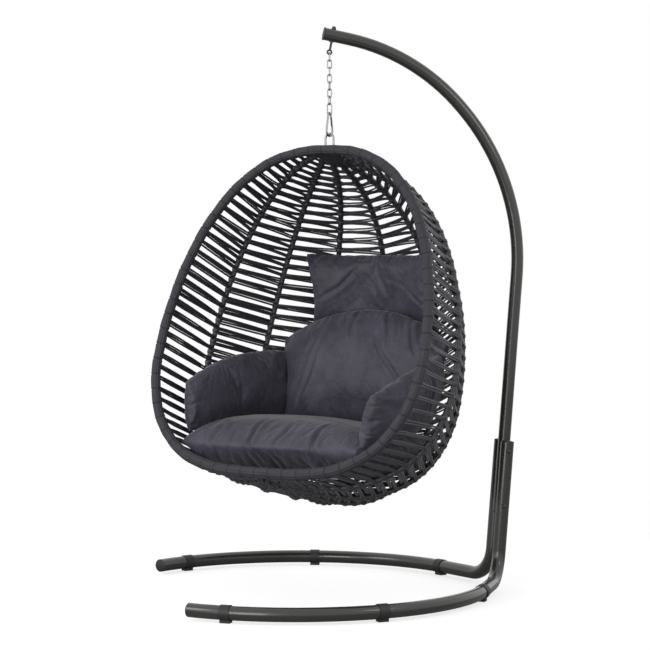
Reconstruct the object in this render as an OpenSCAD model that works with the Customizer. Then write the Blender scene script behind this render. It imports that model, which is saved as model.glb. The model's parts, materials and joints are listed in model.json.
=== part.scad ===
// Hanging egg chair: a woven basket with loose cushions, hung by a chain and a
// snap hook from a curved tubular stand. Millimetres, +Z up, floor at z = 0.
// The origin is the middle of the stand's footprint, and the basket opens to -Y.

/* [Stand arm] */
// Outer diameter of the curved arm's tube
arm_d = 42; // [38:1:46]
// Wall of the arm's tube
arm_wall = 2.5; // [2:0.5:3]
// Height of the arm's lower end above the floor
arm_foot_z = 260; // [240:5:270]
// Length of the arm's straight upright run
arm_straight = 809; // [780:2:840]
// Lean of the arm away from the basket, degrees
arm_lean = 4.35; // [3:0.05:6]
// Centre line radius of the arm's lower bend
arm_bend_r1 = 770; // [750:5:800]
// Turn of the lower bend, degrees
arm_bend_a1 = 45.5; // [44:0.5:47]
// Straight run between the arm's two bends
arm_mid_run = 12; // [6:2:40]
// Centre line radius of the arm's upper bend
arm_bend_r2 = 692; // [680:2:710]
// Turn of the upper bend, degrees
arm_bend_a2 = 38; // [37:0.5:39]
// Straight run at the arm's tip
arm_tip_run = 85; // [80:1:100]
// How far the stand is turned round the hanging axis from the basket, degrees
stand_turn = 43.6; // [40:0.2:48]

/* [Stand legs] */
// Outer diameter of the leg tubes
leg_d = 45; // [42:1:50]
// Wall of the leg tubes
leg_wall = 2.5; // [2:0.5:3]
// Height of the legs' upright stubs above the floor
stub_top_z = 500; // [490:5:520]
// Radius of the bend between stub and floor run
leg_bend_r = 100; // [90:5:110]
// Radius of the curved floor run's centre line
ring_r = 638; // [620:2:650]
// How far the stubs stand outside the floor curve
ring_set = 45; // [37:1:60]
// Angle at which the floor run ends, degrees from the post
ring_end = 131; // [125:1:135]
// Height of the feet under the floor run
foot_h = 8; // [6:0.5:12]
// Angles of the feet along the floor run, degrees from the post
foot_at = [27.5, 75, 119.5];
// Length of a foot clip along the tube
clip_len = 33; // [26:1:40]
// Wall of a foot clip
clip_wall = 2.5; // [2:0.5:4]
// Width of the flat pad under a foot clip
pad_w = 26; // [20:1:32]

/* [Fasteners] */
// Diameter of the two through bolts
bolt_d = 8; // [6:1:10]
// Heights of the two through bolts
bolt_at = [283, 470];
// Diameter of the bolt heads
bolt_head_d = 15; // [13:1:17]
// Height of the side screws in the stubs
screw_z = 382; // [360:2:400]
// Diameter of the side screws
screw_d = 5; // [4:0.5:6]
// Direction of the side screws round the stub, degrees from square
screw_turn = 39; // [30:1:50]
// Distance from the arm's tip back to the eye bolt
eye_set = 29; // [27:1:34]
// Distance from the arm's centre line down to the eye's centre
eye_drop = 57; // [52:1:62]
// Diameter of the eye bolt's shank
eye_shank_d = 8; // [6:1:10]
// Diameter of the eye's wire
eye_wire = 6; // [5:0.5:7]
// Radius of the eye, to the middle of its wire
eye_r = 7; // [6.5:0.5:9]

/* [Chain and hook] */
// Distance from one chain link to the next
link_pitch = 24.3; // [22:0.1:27]
// Diameter of the chain's wire
link_wire = 4.5; // [4:0.1:5]
// Outer width of a chain link
link_w = 18; // [17:0.5:20]
// Distance spanned by the longer last link
end_pitch = 33.5; // [30:0.5:38]
// Diameter of the last link's wire
end_wire = 5; // [4.5:0.1:5.5]
// Outer width of the last link
end_w = 22; // [20:0.5:24]
// Inside length of the snap hook
hook_in = 70.5; // [66:0.5:76]
// Diameter of the snap hook's rod
hook_wire = 7; // [6:0.5:8]
// Narrow end of the hook, radius to the middle of its rod
hook_r1 = 8; // [7.5:0.5:9]
// Wide end of the hook, radius to the middle of its rod
hook_r2 = 17.5; // [16:0.5:19]
// Diameter of the hook's gate
gate_d = 6; // [5:0.5:6.5]
// Diameter of the gate's pin
pin_d = 2.4; // [2:0.2:3]

/* [Basket] */
// Half the basket's width at its rim
half_w = 524; // [500:2:550]
// Rise of the rim above the basket's widest level
rise_top = 722; // [700:2:740]
// Drop of the rim below the basket's widest level
drop_low = 392; // [380:2:410]
// Depth of the basket from rim to back
depth = 732; // [710:2:750]
// How far the opening leans back, degrees
rim_lean = 18.3; // [16:0.1:20]
// Distance of the rim's top in front of the hanging axis
rim_front = 36; // [32:1:42]
// Distance of the rim's top below the arch of the hanging loop
loop_drop = 56; // [50:1:64]
// Diameter of the rim's steel tube
rim_tube_d = 22; // [19:1:25]
// Thickness of the cord wound on the rim tube
rim_cord = 4.5; // [3.5:0.5:6]
// Extra thickness of the winding at the rim's lowest point
rim_low_extra = 4; // [0:0.5:6]
// Diameter of a rib with the cord wound on it
rib_d = 12; // [10:0.5:13]
// Angles of the ribs from the right rim round the back, degrees
rib_at = [22, 46, 71.4, 98.3, 121.1, 142.3, 160.8];
// Thickness of the cord woven from rib to rib
weave_t = 8; // [6:0.5:9]
// Thickness of the plates that gather the ribs
plate_t = 5; // [4:0.5:6]
// Diameter of the hanging loop's rod
loop_wire = 8; // [7:0.5:9]
// Outer width of the hanging loop
loop_w = 40; // [38:1:44]

/* [Cushions] */
// Width, depth and thickness of the seat cushion
seat_size = [744, 600, 175];
// Place of the seat cushion: to the right, back and up from the rim's top
seat_at = [-28, -50, -990];
// Width, height and thickness of the back cushion
back_size = [680, 300, 135];
// Place of the back cushion, likewise
back_at = [-6, 232, -778];
// Rise of the back cushion's arched top
back_arch = 115; // [60:5:130]
// Width, height and thickness of the head pillow
head_size = [520, 272, 90];
// Place of the head pillow, likewise
head_at = [-24, 384, -475];
// Length, height and thickness of each arm cushion
arm_pad_size = [460, 200, 100];
// Place of the right arm cushion, likewise
right_pad_at = [386, -80, -840];
// Place of the left arm cushion, likewise
left_pad_at = [-406, -18, -832];
// Rise of the arm cushions' arched top
arm_arch = 35; // [20:5:60]
// Rise of the arm cushions from front to back, each way from the middle
arm_slope = 28; // [10:2:40]

/* [Hidden] */
gap = 0.3;
fit = 0.05;
cap_fit = 0.15;
seam = 0.1;
$fn = 48;

// ---- stand arm: its centre line, in the stand's own x-z plane ----
arm_r = arm_d/2;
leg_r = leg_d/2;
h1 = 90 - arm_lean;
h2 = h1 + arm_bend_a1;
h3 = h2 + arm_bend_a2;
function along(h) = [cos(h), sin(h)];
function left(h) = [-sin(h), cos(h)];
q0 = [0, arm_foot_z];
q1 = q0 + arm_straight*along(h1);
qc1 = q1 + arm_bend_r1*left(h1);
q2 = qc1 - arm_bend_r1*left(h2) + arm_mid_run*along(h2);
qc2 = q2 + arm_bend_r2*left(h2);
q3 = qc2 - arm_bend_r2*left(h3);
q4 = q3 + arm_tip_run*along(h3);
q_bolt = q4 - eye_set*along(h3);
q_eye = q_bolt + eye_drop*left(h3);
// the hanging axis passes through the eye
arm_x = -q_eye[0];
function at(q) = [q[0] + arm_x, 0, q[1]];
function post_x(z) = arm_x - (arm_foot_z - z)*tan(arm_lean);

// ---- legs, in the stand's frame; side = -1 is the right leg, 1 the left ----
leg_z = foot_h + leg_r;
ring_back = ring_r + ring_set;
leg_y = arm_r + leg_r + gap;
foot_x = post_x(leg_z);
ring_x = foot_x - ring_back;
ring_start = atan2(leg_y, ring_back) + acos(ring_r/norm([ring_back, leg_y]));
tan_x = ring_x + ring_r*cos(ring_start);
tan_y = ring_r*sin(ring_start);
lean_dir = [sin(arm_lean), 0, cos(arm_lean)];
function unit(v) = v/norm(v);

// ---- footprint, and the origin in its middle ----
ring_cx = ring_x*cos(stand_turn);
ring_cy = ring_x*sin(stand_turn);
ring_out = ring_r + leg_r;
end_a = stand_turn + ring_end;
end_b = stand_turn - ring_end;
x_max = ring_cx + ring_out;
y_max = ring_cy + ring_out;
cap_over = 4;
x_min = ring_cx + ring_out*cos(end_a) - cap_over*sin(end_a);
y_min = ring_cy + ring_out*sin(end_b) - cap_over*cos(end_b);
shift = [-(x_max + x_min)/2, -(y_max + y_min)/2, 0];

// ---- heights down the hanging axis ----
z_wire = q_eye[1] - eye_r;
z_chain = z_wire + eye_wire/2;
n_links = 7;
function contact(i) = z_chain - i*link_pitch;
z_end = contact(n_links);
z_hook = z_end - end_pitch;
z_loop = z_hook - hook_in;
z_arch = z_loop + gap + loop_wire/2;
z_rim = z_arch - loop_drop;
// the links turn a little from one to the next, from square to the arm at
// the top to square to the basket's opening at the last link
link_turn = (720 - stand_turn - 90)/n_links;
function link_angle(i) = stand_turn + 90 + i*link_turn;

// ---- basket surface, in a frame that leans back with the opening ----
// t runs from -90 at the rim's lowest point to 90 at its top, and a from 0
// at the right rim round the back to 180 at the left rim
pow_top = 2.44;
pow_low = 3.17;
deep_top = 0.83;
deep_low = 0.59;
function shell(a, t) = [
    half_w*cos(t)*cos(a),
    depth*pow(max(cos(t), 0), t >= 0 ? deep_top : deep_low)*sin(a),
    t >= 0
        ? -rise_top + rise_top*sqrt(1 - pow(cos(t), pow_top))
        : -rise_top - drop_low*sqrt(1 - pow(cos(t), pow_low))
];
function round_dir(a, t) = unit(shell(a + 0.05, t) - shell(a - 0.05, t));
function along_dir(a, t) = unit(shell(a, t + 0.05) - shell(a, t - 0.05));
rib_r = rib_d/2;
rim_tube_r = rim_tube_d/2;
function low_swell(t) = rim_low_extra*pow(max(-sin(t), 0), 6);
function rim_r(t) = rim_tube_r + rim_cord + low_swell(t);
rib_t0 = -86.4;
rib_t1 = 86.3;

steel = [0.22, 0.22, 0.20];
zinc = [0.62, 0.63, 0.64];
plastic = [0.10, 0.10, 0.10];
cord = [0.17, 0.17, 0.18];
cloth = [0.31, 0.30, 0.36];

// ---------------------------------------------------------------- helpers
module hang() translate(shift) children();
module stand() hang() rotate([0, 0, stand_turn]) children();
module basket() hang() translate([0, -rim_front, z_rim]) rotate([-rim_lean, 0, 0]) children();

// puts the child's z axis along the line from a to b, starting at a
module line_up(a, b) {
    d = b - a;
    translate(a)
        rotate([0, acos(d[2]/norm(d)), atan2(d[1], d[0])])
            children();
}

// puts the child's axes along x_dir, y_dir and z_dir, at a point
module axes_at(p, x_dir, z_dir) {
    y_dir = cross(z_dir, x_dir);
    multmatrix([
        [x_dir[0], y_dir[0], z_dir[0], p[0]],
        [x_dir[1], y_dir[1], z_dir[1], p[1]],
        [x_dir[2], y_dir[2], z_dir[2], p[2]],
        [0, 0, 0, 1]
    ]) children();
}

// a rod is laid piece by piece: each piece starts at the origin and runs along
// +z, and what follows it is its child. A bend turns towards -x. A thin ring,
// barely thicker than the rod, closes each joint between a run and a bend
module run(h, r) {
    translate([0, 0, seam]) cylinder(h = h - 2*seam, r = r);
    translate([0, 0, h]) children();
}
module seam_ring(r) translate([0, 0, -3*seam]) cylinder(h = 6*seam, r = r + 0.04);
module bend(radius, turn, r, last = false) {
    seam_ring(r);
    translate([-radius, 0, 0]) rotate([90, 0, 0])
        rotate_extrude(angle = turn, $fn = 180) translate([radius, 0]) circle(r);
    translate([-radius, 0, 0]) rotate([0, -turn, 0]) translate([radius, 0, 0]) {
        if (!last) seam_ring(r);
        children();
    }
}

// a push-in plug: its flange sits on z = 0 and is gently domed
module plug(r, wall, rim, dome, deep) {
    big = (r*r + dome*dome)/(2*dome);
    cylinder(h = rim, r = r);
    intersection() {
        translate([0, 0, rim]) cylinder(h = dome + 1, r = r);
        translate([0, 0, rim + dome - big]) sphere(r = big, $fn = 180);
    }
    translate([0, 0, -deep])
        difference() {
            cylinder(h = deep, r = r - wall - cap_fit);
            translate([0, 0, -1]) cylinder(h = deep - 1, r = r - wall - cap_fit - 2);
        }
}

// a closed loop of round rod in the x-z plane, hanging with the underside of
// its top arc at z = 0
module chain_loop(inner, width, wire) {
    r = (width - wire)/2;
    z_hi = wire/2 - r;
    z_lo = -inner - wire/2 + r;
    for (s = [-1, 1])
        translate([s*r, 0, z_lo]) cylinder(h = z_hi - z_lo, d = wire);
    translate([0, 0, z_hi]) rotate([90, 0, 0])
        rotate_extrude(angle = 180) translate([r, 0]) circle(d = wire);
    translate([0, 0, z_lo]) rotate([-90, 0, 0])
        rotate_extrude(angle = 180) translate([r, 0]) circle(d = wire);
}

// skin between rings of points, each ring with m points; closed joins the
// last ring to the first
function skin_faces(n, m, closed = false) = [
    for (i = [0:(closed ? n - 1 : n - 2)], j = [0:m - 1], k = [0, 1])
        let (i2 = (i + 1)%n, j2 = (j + 1)%m)
        k == 0 ? [i*m + j, i2*m + j, i2*m + j2] : [i*m + j, i2*m + j2, i*m + j2]
];
function cap_faces(n, m) = concat(
    [for (j = [1:m - 2]) [0, j, j + 1]],
    [for (j = [1:m - 2]) [(n - 1)*m, (n - 1)*m + j + 1, (n - 1)*m + j]]
);

// ---------------------------------------------------------------- stand
module bolt_line(z, r, extra = 2) {
    translate([post_x(z), 0, z])
        rotate([90, 0, 0])
            cylinder(h = 2*(leg_y + leg_r) + 2*extra, r = r, center = true);
}

module eye_line(r, lo, hi) {
    line_up(at(q_bolt), at(q_eye))
        translate([0, 0, lo]) cylinder(h = hi - lo, r = r);
}

module arm_rod(r)
    translate(at(q0)) rotate([0, arm_lean, 0])
        run(arm_straight, r)
            bend(arm_bend_r1, arm_bend_a1, r)
                run(arm_mid_run, r)
                    bend(arm_bend_r2, arm_bend_a2, r)
                        run(arm_tip_run, r);

module stand_arm() color(steel) stand() difference() {
    arm_rod(arm_r);
    arm_rod(arm_r - arm_wall);
    for (z = bolt_at) bolt_line(z, bolt_d/2 + fit);
    eye_line(eye_shank_d/2 + fit, -arm_r - 5, arm_r + 5);
}

module arm_tip_cap() color(plastic) stand()
    line_up(at(q4), at(q4 + along(h3))) plug(arm_r + 1, arm_wall + 1, 3, 1.5, 14);

module arm_foot_plug() color(plastic) stand()
    line_up(at(q0), at(q0 - along(h1))) plug(arm_r, arm_wall, 3, 2, 16);

// one leg: upright stub, bend, straight run, and the long curve on the floor
module leg_rod(side, r) {
    corner = [foot_x, side*leg_y, leg_z];
    join = [tan_x, side*tan_y, leg_z];
    stub = (stub_top_z - leg_z)/cos(arm_lean);
    d = unit(join - corner);
    turn = acos(-lean_dir*d);
    set = leg_bend_r*tan(turn/2);
    n = unit(d - (d*lean_dir)*lean_dir);
    up = unit(lean_dir - (d*lean_dir)*d);
    inward = unit([ring_x, 0, leg_z] - join);
    roll = atan2(cross(up, inward)*d, up*inward);
    axes_at(corner + stub*lean_dir, -n, -lean_dir)
        run(stub - set, r)
            bend(leg_bend_r, turn, r)
                run(norm(join - corner) - set, r)
                    rotate([0, 0, roll])
                        bend(ring_r, ring_end - ring_start, r, last = true);
}

module leg(side) stand() difference() {
    leg_rod(side, leg_r);
    leg_rod(side, leg_r - leg_wall);
    for (z = bolt_at) bolt_line(z, bolt_d/2 + fit);
    screw_place(side) cylinder(h = 20, r = screw_d/2 + fit, center = true);
}

module right_leg() color(steel) leg(-1);
module left_leg() color(steel) leg(1);

// a point on the stub's outer face, with z pointing out of the tube
module screw_place(side) {
    translate([post_x(screw_z), side*leg_y, screw_z])
        rotate([0, arm_lean, 0])
            rotate([0, 0, side*(90 - screw_turn)])
                rotate([0, 90, 0])
                    translate([0, 0, leg_r]) children();
}

module stub_caps() color(plastic) stand()
    for (side = [-1, 1])
        translate([post_x(stub_top_z), side*leg_y, stub_top_z])
            rotate([0, arm_lean, 0]) plug(leg_r, leg_wall, 2, 4, 16);

module leg_end_caps() color(plastic) stand()
    for (side = [-1, 1])
        translate([ring_x + ring_r*cos(ring_end), side*ring_r*sin(ring_end), leg_z])
            rotate([0, 0, side*(ring_end + 90)])
                rotate([0, 90, 0]) plug(leg_r, leg_wall, 2, 4, 9);

// saddle clips round the floor run, each with a flat pad down to the floor
module foot_clips(side) {
    sweep = clip_len/ring_r*180/PI;
    stand() translate([ring_x, 0, leg_z])
        for (a = foot_at)
            rotate([0, 0, side*a - sweep/2])
                rotate_extrude(angle = sweep, $fn = 96)
                    translate([ring_r, 0])
                        difference() {
                            union() {
                                circle(leg_r + cap_fit + clip_wall);
                                translate([-pad_w/2, -leg_z]) square([pad_w, leg_z]);
                            }
                            circle(leg_r + cap_fit);
                        }
}

module right_foot_clips() color(plastic) foot_clips(-1);
module left_foot_clips() color(plastic) foot_clips(1);

washer_t = 1.5;
bolt_face = leg_y + leg_r + washer_t;

module frame_bolts() color(zinc) stand()
    for (z = bolt_at)
        translate([post_x(z), 0, z]) rotate([90, 0, 0]) {
            translate([0, 0, -bolt_face - 11]) cylinder(h = 2*bolt_face + 11, d = bolt_d);
            translate([0, 0, bolt_face + fit])
                intersection() {
                    cylinder(h = 4.5, d = bolt_head_d);
                    translate([0, 0, 4.5 - 9]) sphere(r = 9);
                }
        }

module frame_washers() color(zinc) stand()
    for (z = bolt_at, side = [-1, 1])
        difference() {
            translate([post_x(z), 0, z]) rotate([side*90, 0, 0])
                translate([0, 0, leg_y + leg_r - 3])
                    difference() {
                        cylinder(h = washer_t + 3, d = bolt_head_d + 3);
                        translate([0, 0, -1]) cylinder(h = 8, r = bolt_d/2 + fit);
                    }
            translate([post_x(z), -side*leg_y, z]) rotate([0, arm_lean, 0])
                cylinder(h = 100, r = leg_r + fit, center = true);
        }

module frame_nuts() color(zinc) stand()
    for (z = bolt_at)
        translate([post_x(z), bolt_face + fit, z]) rotate([-90, 0, 0])
            difference() {
                union() {
                    cylinder(h = 6.5, d = bolt_d*1.85, $fn = 6);
                    intersection() {
                        translate([0, 0, 6]) cylinder(h = 9, d = bolt_d*1.55);
                        translate([0, 0, 6.5]) sphere(r = bolt_d*0.8);
                    }
                }
                translate([0, 0, -1]) cylinder(h = 12.2, r = bolt_d/2 + fit);
            }

module side_screws() color(zinc) stand()
    for (side = [-1, 1])
        screw_place(side) {
            translate([0, 0, -12]) cylinder(h = 12.2, d = screw_d);
            translate([0, 0, fit])
                intersection() {
                    cylinder(h = 3, d = screw_d*2);
                    translate([0, 0, 3 - screw_d*1.4]) sphere(r = screw_d*1.4);
                }
        }

// ---------------------------------------------------------------- hanging gear
module eye_bolt() color(zinc) stand() {
    eye_line(eye_shank_d/2, -arm_r - washer_t - 6, eye_drop - eye_r);
    translate(at(q_eye)) rotate([90, 0, 0])
        rotate_extrude() translate([eye_r, 0]) circle(d = eye_wire);
}

module eye_washers() color(zinc) stand()
    for (side = [-1, 1])
        difference() {
            line_up(at(q_bolt), at(q_bolt + side*left(h3)))
                translate([0, 0, arm_r - 3])
                    difference() {
                        cylinder(h = washer_t + 3, d = eye_shank_d*2.1);
                        translate([0, 0, -1]) cylinder(h = 8, r = eye_shank_d/2 + fit);
                    }
            line_up(at(q_bolt - 40*along(h3)), at(q_bolt)) cylinder(h = 80, r = arm_r + fit);
        }

module eye_nut() color(zinc) stand()
    line_up(at(q_bolt), at(q_bolt - left(h3)))
        translate([0, 0, arm_r + washer_t + fit])
            difference() {
                union() {
                    cylinder(h = 5, d = eye_shank_d*1.85, $fn = 6);
                    intersection() {
                        translate([0, 0, 4.5]) cylinder(h = 9, d = eye_shank_d*1.55);
                        translate([0, 0, 3.3]) sphere(r = eye_shank_d*0.8);
                    }
                }
                translate([0, 0, -1]) cylinder(h = 7.2, r = eye_shank_d/2 + fit);
            }

module chain_link(i) color(zinc) hang()
    translate([0, 0, contact(i) + gap]) rotate([0, 0, link_angle(i)])
        chain_loop(link_pitch + gap, link_w, link_wire);

module end_link() color(zinc) hang()
    translate([0, 0, z_end + gap]) rotate([0, 0, link_angle(n_links)])
        chain_loop(end_pitch + gap, end_w, end_wire);

// the snap hook lies in the y-z plane: narrow arc on top, wide arc below, a
// solid rod on the front side and the gate on the back side
hook_r = hook_wire/2;
hz1 = z_hook + gap + hook_r - hook_r1;
hz2 = z_loop - hook_r + hook_r2;
hook_slope = asin((hook_r2 - hook_r1)/(hz1 - hz2));
side_len = (hz1 - hz2)*cos(hook_slope);
nose_len = 6;
pivot_at = 10;
tongue_t = 3;
// local frame of the gate's side: origin on the wide arc's tangent point
module gate_side() translate([0, hook_r2*cos(hook_slope), hz2 + hook_r2*sin(hook_slope)])
    rotate([hook_slope, 0, 0]) children();

module snap_hook() color(zinc) hang() {
    gate_side() {
        translate([0, 0, pivot_at - 4])
            axes_at([0, 0, 0], [0, 1, 0], [0, 0, -1])
                run(pivot_at - 4, hook_r)
                    bend(hook_r2, 180 + 2*hook_slope, hook_r)
                        run(side_len, hook_r)
                            bend(hook_r1, 180 - 2*hook_slope, hook_r)
                                run(nose_len, hook_r);
        difference() {
            union() {
                translate([0, 0, pivot_at]) rotate([0, 90, 0])
                    cylinder(h = tongue_t, r = gate_d/2 - 0.5, center = true);
                translate([-tongue_t/2, -gate_d/2 + 0.5, pivot_at - 5])
                    cube([tongue_t, gate_d - 1, 5]);
            }
            translate([0, 0, pivot_at]) rotate([0, 90, 0])
                cylinder(h = 10, r = pin_d/2 + fit, center = true);
        }
    }
}

module hook_gate() color(zinc) hang() gate_side() difference() {
    union() {
        translate([0, 0, pivot_at]) cylinder(h = side_len - nose_len - gap - pivot_at, r = gate_d/2);
        intersection() {
            translate([0, 0, pivot_at]) rotate([0, 90, 0])
                cylinder(h = gate_d, r = gate_d/2, center = true);
            translate([0, 0, pivot_at - gate_d/2]) cylinder(h = gate_d, r = gate_d/2);
        }
    }
    translate([-tongue_t/2 - 0.2, -5, pivot_at - 5]) cube([tongue_t + 0.4, 10, 9.5]);
    translate([0, 0, pivot_at]) rotate([0, 90, 0])
        cylinder(h = 10, r = pin_d/2 + fit, center = true);
}

module gate_pin() color(zinc) hang() gate_side()
    translate([0, 0, pivot_at]) rotate([0, 90, 0])
        cylinder(h = gate_d + 0.4, d = pin_d, center = true);

// ---------------------------------------------------------------- basket frame
plate_z = -rib_r - 2;

// a half oval plate behind the rim, at the level z, big enough to carry the
// ends of all the ribs
module oval_plate(z, half, deep, t) {
    translate([0, 0, z])
        linear_extrude(plate_t)
            intersection() {
                circle_oval(half, deep);
                translate([-half, rim_r(t) + 0.5]) square([2*half, deep]);
            }
}
module circle_oval(half, deep) polygon([
    for (a = [0:7.5:352.5]) [half*cos(a), deep*sin(a)]
]);

module hanging_loop() color(zinc) difference() {
    hang() translate([0, 0, z_arch]) {
        r = (loop_w - loop_wire)/2;
        translate([0, 0, -r]) rotate([90, 0, 0])
            rotate_extrude(angle = 180) translate([r, 0]) circle(d = loop_wire);
        for (s = [-1, 1])
            translate([s*r, 0, -90]) cylinder(h = 90 - r, d = loop_wire);
    }
    basket() translate([-50, -50, plate_z - 100]) cube([100, 200, 100]);
}

module top_plate() color(steel) basket() oval_plate(plate_z - plate_t, 48, 104, 90);

module bottom_plate() color(steel) basket()
    oval_plate(-rise_top - drop_low - rib_r - plate_t - 0.5, 44, 190, -90);

function rim_centre(u) = let (t = u < 180 ? u - 90 : 270 - u)
    [u < 180 ? shell(0, t)[0] : -shell(0, t)[0], 0, shell(0, t)[2]];
function rim_t(u) = u < 180 ? u - 90 : 270 - u;
function rim_ring(u, grow, m) = let (
        c = rim_centre(u),
        f = unit(rim_centre((u + 0.5)%360) - rim_centre((u + 359.5)%360)),
        n = cross([0, 1, 0], f)
    ) [for (j = [0:m - 1]) c + grow*(cos(j*360/m)*n + sin(j*360/m)*[0, 1, 0])];
rim_n = 72;

module rim_tube() color(steel) basket() polyhedron(
    points = [for (i = [0:rim_n - 1]) each rim_ring(i*360/rim_n, rim_tube_r, 8)],
    faces = skin_faces(rim_n, 8, true)
);

module rim_winding() color(cord) basket() difference() {
    polyhedron(
        points = [for (i = [0:rim_n - 1]) let (u = i*360/rim_n) each rim_ring(u, rim_r(rim_t(u)), 10)],
        faces = skin_faces(rim_n, 10, true)
    );
    polyhedron(
        points = [for (i = [0:rim_n - 1]) each rim_ring(i*360/rim_n, rim_tube_r + 0.2, 8)],
        faces = skin_faces(rim_n, 8, true)
    );
}

// rim, ribs and weave all take their rings at the same steps of t
t_steps = [for (t = [-85:5:85]) t];
rib_steps = concat([rib_t0], t_steps, [rib_t1]);
rib_n = len(rib_steps);
function rib_ring(a, t, m) = let (
        f = along_dir(a, t),
        r0 = round_dir(a, t),
        o = unit(cross(r0, f)),
        s = cross(f, o)
    ) [for (j = [0:m - 1]) shell(a, t) + rib_r*(cos(j*360/m)*o + sin(j*360/m)*s)];

module rib(i) color(cord) basket() polyhedron(
    points = [for (t = rib_steps) each rib_ring(rib_at[i], t, 6)],
    faces = concat(skin_faces(rib_n, 6), cap_faces(rib_n, 6))
);

// ---------------------------------------------------------------- weave
// each bay is a thin skin of cord pulled straight from one rib to the next
edges = concat([0], rib_at, [180]);
function edge_r(i, t) = (i == 0 || i == 8 ? rim_r(t) : rib_r) + gap;
// how far an edge stands back from a rib that the cords meet at a slant
function edge_set(i, t, d) = let (c = d*along_dir(edges[i], t))
    edge_r(i, t)/sqrt(1 - c*c);
function bay_ring(i, t) = let (
        p = shell(edges[i], t),
        q = shell(edges[i + 1], t),
        d = unit(q - p),
        o = unit(cross(d, along_dir((edges[i] + edges[i + 1])/2, t)))*weave_t/2,
        ea = edge_set(i, t, d),
        eb = edge_set(i + 1, t, d),
        k = min(0.98*norm(q - p)/(ea + eb), 1),
        a = p + d*ea*k,
        b = q - d*eb*k
    ) [a + o, b + o, b - o, a - o];

module weave(i) color(cord) basket() polyhedron(
    points = [for (t = t_steps) each bay_ring(i, t)],
    faces = concat(skin_faces(len(t_steps), 4), cap_faces(len(t_steps), 4))
);

// ---------------------------------------------------------------- cushions
// a stuffed cushion in its own frame: x wide, y long, z thick. The sides are
// drawn in between the corners, the faces crown, and the pad may be bowed
cells = 14;
function pad_point(u, v, s, size, round, pinch, edge, bow, rise, flare) = let (
        x = size[0]/2*u*sqrt(1 - round*v*v)*(1 - pinch*(1 - v*v)*u*u)*(1 + flare*(v - 1)/2),
        y = size[1]/2*v*sqrt(1 - round*u*u)*(1 - pinch*(1 - u*u)*v*v),
        g = sqrt(max((1 - pow(u, 4))*(1 - pow(v, 4)), 0)),
        z = s*(edge/2 + (size[2] - edge)/2*g)
    ) [x, y + (rise[0]*(1 - u*u) + rise[1]*u)*(v + 1)/2 + rise[2]*u, z + bow[0]*u*u + bow[1]*v*v];
// keeps a soft point inside the basket: at each level the basket's section
// is a polygon with its corners on the ribs
tuck_gap = rib_r + 0.6;
function level_cos(q) = q >= -rise_top
    ? pow(max(1 - pow((q + rise_top)/rise_top, 2), 0.0001), 1/pow_top)
    : pow(max(1 - pow((q + rise_top)/drop_low, 2), 0.0001), 1/pow_low);
function bay_of(a) = let (n = [for (i = [0:7]) if (a >= edges[i]) i]) n[len(n) - 1];
function tuck(p) = let (
        c = level_cos(p[2] + (p[2] > -rise_top ? tuck_gap : -tuck_gap)),
        w = half_w*c - tuck_gap,
        d = depth*pow(c, p[2] > -rise_top ? deep_top : deep_low) - tuck_gap,
        x = p[0]/w,
        y = max(p[1], 0)/d,
        a = atan2(y, x),
        i = bay_of(a),
        mid = (edges[i] + edges[i + 1])/2,
        far = cos((edges[i + 1] - edges[i])/2)/cos(a - mid),
        k = min(far/max(norm([x, y]), 0.001), 1)
    ) [p[0]*k, p[1] > 0 ? p[1]*k : p[1], p[2]];
// from the hanging frame into the basket's frame, and a pad's own placing
function into(p) = let (y = p[1] + rim_front, z = p[2])
    [p[0], y*cos(rim_lean) - z*sin(rim_lean), y*sin(rim_lean) + z*cos(rim_lean)];
function turn_x(p, a) = [p[0], p[1]*cos(a) - p[2]*sin(a), p[1]*sin(a) + p[2]*cos(a)];
function turn_z(p, a) = [p[0]*cos(a) - p[1]*sin(a), p[0]*sin(a) + p[1]*cos(a), p[2]];
function place(p, pos, pitch, yaw) = into(pos + turn_z(turn_x(p, pitch), yaw));
function pad_points(size, round, pinch, edge, bow, rise, flare, pos, pitch, yaw, settle) = [
    for (s = [1, -1], i = [0:cells], j = [0:cells])
        tuck(place(pad_point(2*i/cells - 1, 2*j/cells - 1, s, size, round, pinch, edge, bow, rise, flare),
            pos, pitch, yaw)) + turn_x(settle, rim_lean)
];
function pad_id(s, i, j) = s*(cells + 1)*(cells + 1) + i*(cells + 1) + j;
function pad_cell(s, i, j) = let (
        a = pad_id(s, i, j), b = pad_id(s, i + 1, j),
        c = pad_id(s, i + 1, j + 1), d = pad_id(s, i, j + 1)
    ) s == 0 ? [[a, c, b], [a, d, c]] : [[a, b, c], [a, c, d]];
function wall(a, b, c, d) = [[a, b, c], [a, c, d]];
pad_faces = concat(
    [for (s = [0, 1], i = [0:cells - 1], j = [0:cells - 1]) each pad_cell(s, i, j)],
    [for (i = [0:cells - 1]) each wall(pad_id(0, i, 0), pad_id(0, i + 1, 0), pad_id(1, i + 1, 0), pad_id(1, i, 0))],
    [for (i = [0:cells - 1]) each wall(pad_id(0, i + 1, cells), pad_id(0, i, cells), pad_id(1, i, cells), pad_id(1, i + 1, cells))],
    [for (j = [0:cells - 1]) each wall(pad_id(0, 0, j + 1), pad_id(0, 0, j), pad_id(1, 0, j), pad_id(1, 0, j + 1))],
    [for (j = [0:cells - 1]) each wall(pad_id(0, cells, j), pad_id(0, cells, j + 1), pad_id(1, cells, j + 1), pad_id(1, cells, j))]
);

// settle moves a finished pad up against what carries it
module pad(size, pos, settle, pitch, yaw = 0, round = 0.1, pinch = 0.05, edge = 16, bow = [0, 0], rise = [0, 0, 0], flare = 0)
    color(cloth) basket() polyhedron(
        points = pad_points(size, round, pinch, edge, bow, rise, flare, pos, pitch, yaw, settle),
        faces = pad_faces
    );

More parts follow.
